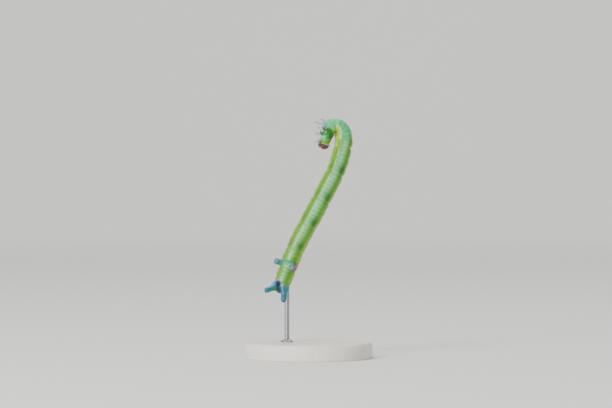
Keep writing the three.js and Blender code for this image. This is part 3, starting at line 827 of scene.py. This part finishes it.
# The true legs: three pairs of hard, jointed, glassy white legs. Each is four tapering
# sheaths with a soft ring between two, and ends in one dark hooked claw.
LEG_SIDES, LEG_RINGS = 20, 70
LEG_THICK = [(0, 0.27), (0.45, 0.2), (0.7, 0.17), (1, 0.12)]
LEG_JOINTS = (0.2, 0.45, 0.7)
LEG_BOW_OUT, LEG_BOW_BACK = 0.14, 0.08
CLAW = dict(length=0.26, root=0.07, point=0.012, bow=0.6, reach=0.8, hook=0.5)

leg_finish, tree, shader = new_finish(
    "leg_cuticle", 0.22, Subsurface_Weight=0.3, Subsurface_Scale=0.0002, Coat_Weight=0.4
)
leg_layers = [
    ("leg_root", (160, 205, 190), 0.8),
    ("leg_foot", (196, 176, 184), 0.7),
    ("leg_joint", (120, 100, 96), 0.75),
]
colour = airbrushed(tree, (176, 194, 218), leg_layers, 0.3, 9000)
mottled(tree, shader, colour, 16000, 0.92, 1.06)
pebble(tree, shader, 30000, 0.000003)
claw_finish = horn_finish("claw_horn", (58, 40, 48), 0.2)

for name, size in LEGS.items():
    side = 1 if name.endswith("left") else -1
    middle = MIDDLES[NUMBER[name[:8]]]
    _, leg_ahead, _, leg_left = body_frame(middle)
    root = body_place(middle, *size["root"])
    tip = body_place(middle, *size["tip"])
    bow = (root + tip) / 2 + leg_left * side * LEG_BOW_OUT - leg_ahead * LEG_BOW_BACK
    share = np.linspace(0, 1, LEG_RINGS)
    radii = np.interp(share, *zip(*LEG_THICK))
    joint = sum(bell(share - at, 0.022) for at in LEG_JOINTS)
    knuckle = sum(bell(share - at + 0.05, 0.035) for at in LEG_JOINTS)
    radii = radii * (1 - 0.2 * joint + 0.06 * knuckle) * (1 - 0.5 * smooth(share, 0.96, 1))
    grid = limb_grid(root, bow, tip, share, radii, LEG_SIDES, leg_left)
    leg = placed_mesh(name, [closed_tube(grid)], leg_finish)
    for mask, values in {
        "leg_root": 1 - smooth(share, 0.15, 0.4),
        "leg_foot": smooth(share, 0.72, 0.95),
        "leg_joint": joint,
    }.items():
        ends = values[[0, -1]]
        paint_mask(leg.data, mask, np.concatenate([np.repeat(values, LEG_SIDES), ends]))
    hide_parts(name)
    reach = (tip - bow) / np.linalg.norm(tip - bow)
    claw_tip = tip + reach * CLAW["length"] * CLAW["reach"] + leg_ahead * CLAW["length"] * CLAW["hook"]
    claw_bow = tip + reach * CLAW["length"] * CLAW["bow"]
    horn = thin_horn(tip - reach * 0.04, claw_bow, claw_tip, CLAW["root"], CLAW["point"], 12, 16)
    claw = placed_mesh(name.replace("leg", "claw"), [horn], claw_finish)
    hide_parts(name.replace("leg", "claw"))

# The head: a hard capsule of two rounded lobes with a groove between, and a three-cornered
# face plate over the mouth. It is green where it meets the neck and red-brown in front.
HEAD_HALF = np.array([0.6, 0.58, 0.62])
HEAD_AHEAD, HEAD_BELLY = 0.43, 0.04
GROOVE = dict(depth=0.1, width=0.13, lean=0.6, low=-0.2, high=0.9)
CHIN_DEPTH, CHIN_FROM = 0.1, 0.45
CHEEK_HEIGHT, CHEEK_AT, CHEEK_WIDTH = 0.05, 0.72, 0.35
HEAD_RINGS, HEAD_SIDES = 96, 128


def head_share(x, y, z):
    """Share of the head's radius in a direction: x to the left, y ahead, z to the mouth."""
    crown = smooth(y - GROOVE["lean"] * z, GROOVE["low"], GROOVE["high"])
    groove = GROOVE["depth"] * bell(x, GROOVE["width"]) * crown
    chin = CHIN_DEPTH * smooth(z, CHIN_FROM, 1)
    cheeks = CHEEK_HEIGHT * bell(np.abs(x) - CHEEK_AT, CHEEK_WIDTH)
    return 1 - groove - chin + cheeks


def face_seams(x, y, z):
    """1 along the two seams that run from the groove down each side of the face plate."""
    run = np.clip((z + 0.05) / 0.75, 0, 1)
    return bell(np.abs(x) - 0.3 * run, 0.035) * (z > -0.05) * smooth(y, 0.2, 0.5)


def head_place(x, y, z):
    """A place in the head, from shares of its half sizes off its middle."""
    left, ahead, belly = (axis * half for axis, half in zip((x, y, z), HEAD_HALF))
    offsets = np.stack([left, HEAD_AHEAD + ahead, HEAD_BELLY + belly], -1)
    return body_place(BODY_LENGTH, 0, 0, 0) + offsets @ head_axes


_, head_ahead, head_belly, head_left = body_frame(BODY_LENGTH)
head_axes = np.stack([head_left, head_ahead, head_belly])
lat = np.linspace(-np.pi / 2, np.pi / 2, HEAD_RINGS + 2)[1:-1, None]
turn = full_turn(HEAD_SIDES)[None]
unit = (np.cos(lat) * np.sin(turn), np.sin(lat) + 0 * turn, np.cos(lat) * np.cos(turn))
seams = face_seams(*unit)
lumps = 0.006 * np.sin(unit[0] * 23 + unit[2] * 9) * np.sin(unit[1] * 19 + unit[2] * 13)
share = head_share(*unit) * (1 - 0.035 * seams) + lumps - 0.01
head_grid = head_place(*(axis * share for axis in unit))
head_finish, tree, shader = new_finish(
    "head_capsule", 0.25, Subsurface_Weight=0.1, Subsurface_Scale=0.0002, Coat_Weight=0.3
)
head_layers = [
    ("crown", (88, 164, 50), 1.0),
    ("brow", (104, 146, 16), 0.9),
    ("white_line", (158, 158, 180), 0.9),
    ("cheek", (132, 60, 50), 0.5),
    ("seam", (54, 26, 20), 0.7),
]
colour = airbrushed(tree, (80, 8, 2), head_layers, 0.2, 7000)
mottled(tree, shader, colour, 12000, 0.8, 1.2)
pebble(tree, shader, 24000, 0.000005)
head = placed_mesh("head", [closed_tube(head_grid)], head_finish)
up = unit[1]
head_masks = {
    "crown": 1 - smooth(up, 0.0, 0.14),
    "brow": bell(up + 0.14, 0.15),
    "white_line": bell(up - 0.17, 0.07),
    "cheek": smooth(unit[2], 0.4, 0.9) * smooth(up, 0, 0.3),
    "seam": seams,
}
for mask, values in head_masks.items():
    ends = [values[0].mean(), values[-1].mean()]
    paint_mask(head.data, mask, np.concatenate([values.ravel(), ends]))
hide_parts("head_capsule")

# The eyes: six small glossy lenses on each side of the head, in an arc over the corner of
# the jaw, each on a low dark ring.
LENSES = 6
LENS_RADIUS = 0.062
EYE_ARC = dict(longitude=66, latitude=30, radius=14, low=-150, high=80)


def head_spot(longitude, latitude, lift=0.0):
    """Place on the head and its outward direction, from angles off the face's middle."""
    lon, lat = math.radians(longitude), math.radians(latitude)
    x = math.sin(lon) * math.cos(lat)
    y = math.cos(lon) * math.cos(lat)
    z = math.sin(lat)
    share = float(head_share(np.array(x), np.array(y), np.array(z)))
    here = head_place(*(np.array(v * share) for v in (x, y, z)))
    out = np.array([x, y, z]) / HEAD_HALF @ head_axes
    out /= np.linalg.norm(out)
    return here + out * lift, out


def axes_of(out):
    """Three axes, the first one given."""
    over = np.cross(out, [0.13, 0.41, 0.9])
    over /= np.linalg.norm(over)
    return out, over, np.cross(out, over)


eye_finish, tree, shader = new_finish("eye_lens", 0.06, Coat_Weight=1.0, Coat_Roughness=0.03)
mottled(tree, shader, plain_colour(20, 14, 13), 20000, 0.7, 1.3)
for side, word in ((1, "left"), (-1, "right")):
    lenses = []
    for i in range(LENSES):
        turn = math.radians(EYE_ARC["low"] + (EYE_ARC["high"] - EYE_ARC["low"]) * i / (LENSES - 1))
        longitude = EYE_ARC["longitude"] + EYE_ARC["radius"] * math.cos(turn)
        latitude = EYE_ARC["latitude"] + EYE_ARC["radius"] * math.sin(turn)
        here, out = head_spot(side * longitude, latitude, 0.012)
        lens = cushion(here, axes_of(out), (LENS_RADIUS,) * 3, rings=14, sides=24)
        ring = cushion(here, axes_of(out), (0.02, LENS_RADIUS * 1.35, LENS_RADIUS * 1.35), rings=8)
        lenses += [closed_tube(lens), closed_tube(ring)]
    eye = placed_mesh("eye_lenses_" + word, lenses, eye_finish)
    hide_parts("eye_" + word)

# The feelers and mouth: short three-jointed feelers with a bristle, two toothed jaws under a
# notched upper lip, and a lower lip with its palps and the silk spigot between them.
FEELER = dict(longitude=40, latitude=52, joints=(0.1, 0.14, 0.06), thick=(0.09, 0.065, 0.04), bristle=0.12)
JAW = dict(middle=(0.47, 0.66, 0.17), half=(0.17, 0.2, 0.14), taper=0.3, teeth=5, bite=0.035)
UPPER_LIP = dict(middle=(0.73, 0.64, 0), half=(0.07, 0.17, 0.24), notch=0.05)
LOWER_LIP = dict(middle=(0.19, 0.64, 0), half=(0.09, 0.2, 0.17))
mouth_finish = horn_finish("mouth_horn", (132, 78, 66), 0.3)
jaw_finish = horn_finish("jaw_horn", (84, 44, 36), 0.25)


def stub(root, way, lengths, radii, bristle=0.0):
    """A jointed stub of short cylinders, each thinner than the last, with an end bristle."""
    made, at = [], root
    for length, radius in zip(lengths, radii):
        share = np.linspace(0, 1, 12)
        width = radius * (1 - 0.35 * smooth(share, 0.8, 1) - 0.25 * (1 - smooth(share, 0, 0.2)))
        end = at + way * length
        grid = limb_grid(at, (at + end) / 2, end, share, width, 16, axes_of(way)[1])
        made.append(closed_tube(grid))
        at = end - way * length * 0.08
    if bristle:
        made.append(thin_horn(at, at + way * bristle * 0.6, at + way * bristle, 0.01, 0.003))
    return made


for side, word in ((1, "left"), (-1, "right")):
    here, out = head_spot(side * FEELER["longitude"], FEELER["latitude"], -0.03)
    way = out + head_belly * 0.4
    way /= np.linalg.norm(way)
    feeler = stub(here, way, FEELER["joints"], FEELER["thick"], FEELER["bristle"])
    piece = placed_mesh("feeler_joints_" + word, feeler, mouth_finish)
    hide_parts("feeler_" + word)

mouth_axes = (head_belly, head_ahead, head_left)


def mouth_pad(size, side=1, spread=0.0, rings=26, sides=40):
    """A pad of the mouth, and its points' shares of its half sizes down, ahead and left."""
    ahead, belly, left = size["middle"]
    centre = body_place(BODY_LENGTH, ahead, belly, side * left)
    half = [size["half"][i] for i in (1, 0, 2)]
    grid = cushion(centre, mouth_axes, half, spread, rings, sides)
    return grid, [(grid - centre) @ axis / reach for axis, reach in zip(mouth_axes, half)]


for side, word in ((1, "left"), (-1, "right")):
    grid, (down, ahead, _) = mouth_pad(JAW, side, -JAW["taper"])
    teeth = np.abs(np.sin(ahead * math.pi * JAW["teeth"] / 2))
    bite = JAW["bite"] * teeth * smooth(down, 0.45, 1)
    jaw_tube = closed_tube(grid - bite[..., None] * head_belly)
    piece = placed_mesh("jaw_blade_" + word, [jaw_tube], jaw_finish)
    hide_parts("jaw_" + word)

grid, (down, _, left) = mouth_pad(UPPER_LIP)
notch = UPPER_LIP["notch"] * bell(left, 0.25) * smooth(down, 0, 1)
lip_tube = closed_tube(grid - notch[..., None] * head_belly)
upper = placed_mesh("lip_plate", [lip_tube], mouth_finish)
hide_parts("upper_lip")

lip_ahead, lip_belly, _ = LOWER_LIP["middle"]
lip_half = LOWER_LIP["half"][1]
lower_parts = [closed_tube(mouth_pad(LOWER_LIP, rings=18, sides=28)[0])]
spigot = body_place(BODY_LENGTH, lip_ahead, lip_belly + lip_half * 0.7, 0)
lower_parts += stub(spigot, head_belly, (0.09, 0.06), (0.03, 0.018))
for side in (1, -1):
    palp = body_place(BODY_LENGTH, lip_ahead + 0.05, lip_belly + lip_half * 0.6, side * 0.1)
    lower_parts += stub(palp, head_belly, (0.06, 0.05, 0.04), (0.04, 0.03, 0.02), 0.04)
lower = placed_mesh("lower_lip_palps", lower_parts, mouth_finish)
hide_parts("lower_lip")

# Hairs: a looper is nearly bare. Each segment has a few short fine hairs in fixed places,
# and each hair stands on a tiny raised dot.
HAIR_PLACES = [
    (0.25, 162), (0.7, 148), (0.45, 122), (0.35, 98), (0.6, 72), (0.42, 58), (0.55, 46), (0.5, 14),
]
HAIR = dict(length=0.26, radius=0.007, point=0.002, dot=(0.014, 0.028, 0.028))
HAIR_PATCH = 0.003
SHORT_SEGMENT = 0.5
draw = random.Random(7)
hairs, hair_roots, dots = [], [], []
for k, length in enumerate(LENGTHS):
    for share, angle in HAIR_PLACES:
        if length < SHORT_SEGMENT and angle < 90:
            continue
        s = float(BORDERS[k] + length * share)
        for side in (1, -1):
            here, out, ahead, over = skin_axes(s, float(angle * side))
            lean = ahead * draw.uniform(-0.5, 0.2) + over * draw.uniform(-0.3, 0.3)
            size = HAIR["length"] * draw.uniform(0.7, 1.2)
            bow = here + out * size * 0.6 + lean * size * 0.15
            tip = here + out * size * 0.85 + lean * size * 0.6
            hairs.append(thin_horn(here, bow, tip, HAIR["radius"], HAIR["point"], 5, 6))
            hair_roots.append(((angle * side + 180) / 360, s / BODY_LENGTH))
            dot = cushion(here, (out, ahead, over), HAIR["dot"], rings=5, sides=12)
            dots.append(closed_tube(dot))
hair_finish = horn_finish("hair", (186, 184, 160), 0.35)
coat = placed_mesh("hairs", hairs, hair_finish)
patches = coat.data.uv_layers.new(name="OFBake")
owner = np.repeat(np.arange(len(hairs)), [len(points) for points, _ in hairs])
within = np.concatenate([np.arange(len(points)) / len(points) for points, _ in hairs])
for loop in coat.data.loops:
    u, v = hair_roots[owner[loop.vertex_index]]
    step = within[loop.vertex_index] * HAIR_PATCH
    patches.data[loop.index].uv = (min(u, 1 - HAIR_PATCH) + step, v * (1 - HAIR_PATCH) + step * 0.5)
placed_mesh("hair_dots", dots, horn_finish("hair_dot", (96, 118, 60), 0.45))

# The display stand: a cast resin disc with a rounded rim, and one thin satin steel rod that
# stands in a small turned foot and holds the larva by the back of its tail.
BASE_RADIUS, BASE_HEIGHT, BASE_ROUND = 8.0, 2.0, 0.35
ROD_PLACE = (-2.7, 0.2)
ROD_RADIUS, ROD_FOOT = 0.3, 0.8
base_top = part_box("stand_base")[1][2] / MM
rod_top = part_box("stand_rod")[1][2] / MM


def turned(profile, sides, x=0.0, y=0.0):
    """A lathe turning about an upright line, from radius and height pairs."""
    turn = full_turn(sides)
    radius, height = np.array(profile).T
    ring = np.stack([np.cos(turn), np.sin(turn)], -1)
    flat = radius[:, None, None] * ring[None] + np.array([x, y])
    high = np.repeat(height[:, None, None], sides, 1)
    return closed_tube(np.concatenate([flat, high], -1))


def round_edge(radius, height, size, start, end, steps=8):
    """Points of a quarter-round edge."""
    turns = np.radians(np.linspace(start, end, steps))
    return [(radius - size + size * math.cos(t), height + size * math.sin(t)) for t in turns]


base_profile = [(BASE_RADIUS - 1.2, 0.0), (BASE_RADIUS - 0.2, 0.0)]
base_profile += round_edge(BASE_RADIUS, 0.12, 0.12, -90, 0, 5)
base_profile += round_edge(BASE_RADIUS, BASE_HEIGHT - BASE_ROUND, BASE_ROUND, 0, 90)
base_profile += [(BASE_RADIUS - 0.8, BASE_HEIGHT), (2.0, BASE_HEIGHT), (0.1, BASE_HEIGHT)]
base_finish, tree, shader = new_finish("resin", 0.45, Subsurface_Weight=0.05, Subsurface_Scale=0.001)
mottled(tree, shader, plain_colour(232, 229, 221), 900, 0.97, 1.02)
uneven_gloss(tree, shader, 700, 0.4, 0.52)
pebble(tree, shader, 9000, 0.000004, 0.3)
base = placed_mesh("stand_base_disc", [turned(base_profile, 160)], base_finish)
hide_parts("stand_base")

rod_profile = [
    (ROD_FOOT * 0.5, base_top - 0.02),
    (ROD_FOOT, base_top - 0.02),
    (ROD_FOOT, base_top + 0.1),
    (ROD_FOOT - 0.05, base_top + 0.15),
    (ROD_RADIUS + 0.08, base_top + 0.3),
    (ROD_RADIUS, base_top + 0.42),
]
rod_profile += [(ROD_RADIUS, z) for z in np.linspace(base_top + 0.6, rod_top - 0.05, 24)]
rod_profile += [(ROD_RADIUS * 0.8, rod_top)]
steel, tree, shader = new_finish("rod_steel", 0.3, Metallic=1.0)
place = add_node(tree, "ShaderNodeTexCoord").outputs["Object"]
stretch = add_node(tree, "ShaderNodeMapping", {"Vector": place, "Scale": (1, 1, 0.04)})
brushed = add_node(
    tree, "ShaderNodeTexNoise", {"Vector": stretch.outputs[0], "Scale": 16000, "Detail": 2.0}
).outputs["Fac"]
tints = {"Factor": brushed, 6: plain_colour(140, 143, 148), 7: plain_colour(176, 178, 182)}
tint = add_node(tree, "ShaderNodeMix", tints, data_type="RGBA")
tree.links.new(tint.outputs[2], shader.inputs["Base Color"])
gloss = add_node(tree, "ShaderNodeMapRange", {"Value": brushed, "To Min": 0.24, "To Max": 0.4})
tree.links.new(gloss.outputs[0], shader.inputs["Roughness"])
rod = placed_mesh("stand_rod_steel", [turned(rod_profile, 48, *ROD_PLACE)], steel)
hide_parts("stand_rod")

# The studio: a pale round floor whose edge turns up into a wall all round, soft lights from
# the front left, above and behind, and a level camera at a close-up lens's distance.
FLOOR_RADIUS, FLOOR_TURN, WALL_TOP, FLOOR_SIDES = 1.3, 0.7, 2.4, 96
floor_profile = [(r, 0.0) for r in np.linspace(0.02, FLOOR_RADIUS, 12)]
floor_profile += [
    (FLOOR_RADIUS + FLOOR_TURN * math.sin(t), FLOOR_TURN * (1 - math.cos(t)))
    for t in np.radians(np.linspace(6, 90, 15))
]
floor_profile += [(FLOOR_RADIUS + FLOOR_TURN, WALL_TOP)]
floor_points, floor_faces = turned(floor_profile, FLOOR_SIDES)
wall_end = len(floor_points) - 1
open_faces = [face for face in floor_faces if wall_end not in face]
floor_mesh = raw_mesh("floor", floor_points[:wall_end], open_faces)
floor_finish, tree, shader = new_finish("floor_paper", 0.9)
shader.inputs["Base Color"].default_value = plain_colour(236, 236, 233)
floor_mesh.materials.append(floor_finish)
floor = bpy.data.objects.new("floor", floor_mesh)
bpy.context.collection.objects.link(floor)

world = bpy.data.worlds.new("studio")
bpy.context.scene.world = world
world.use_nodes = True
world.node_tree.nodes["Background"].inputs["Color"].default_value = plain_colour(238, 241, 245)
world.node_tree.nodes["Background"].inputs["Strength"].default_value = 0.38

AIM = Vector((-0.0003125, 0, 0.01925))


def soft_light(name, place, power, width, height, colour, towards=AIM):
    """A wide lamp that the camera doesn't see, turned towards a place."""
    light = bpy.data.lights.new(name, "AREA")
    light.shape = "RECTANGLE"
    light.size, light.size_y = width, height
    light.energy = power
    light.color = colour
    made = bpy.data.objects.new(name, light)
    made.location = place
    made.rotation_euler = (Vector(towards) - Vector(place)).to_track_quat("-Z", "Y").to_euler()
    made.visible_camera = False
    bpy.context.collection.objects.link(made)


soft_light("key", (-0.22, -0.33, 0.16), 2.8, 0.1, 0.42, (1, 0.99, 0.97))
soft_light("top", (0.05, 0.05, 0.45), 0.9, 0.4, 0.4, (0.95, 0.98, 1))
soft_light("fill", (0.35, -0.3, 0.08), 0.15, 0.3, 0.3, (0.97, 1, 0.97))
soft_light("wash", (0, 0.9, 1.5), 18, 1.2, 1.2, (1, 1, 1), (0, 1.8, 0.5))

CAMERA_DISTANCE = 0.3
VIEW_WIDTH = 0.0765
lens = bpy.data.cameras.new("camera")
lens.sensor_width = 36
lens.lens = lens.sensor_width * CAMERA_DISTANCE / VIEW_WIDTH
lens.clip_start, lens.clip_end = 0.01, 20
camera = bpy.data.objects.new("camera", lens)
camera.location = AIM + Vector((0, -CAMERA_DISTANCE, 0))
camera.rotation_euler = (math.pi / 2, 0, 0)
bpy.context.collection.objects.link(camera)
bpy.context.scene.camera = camera
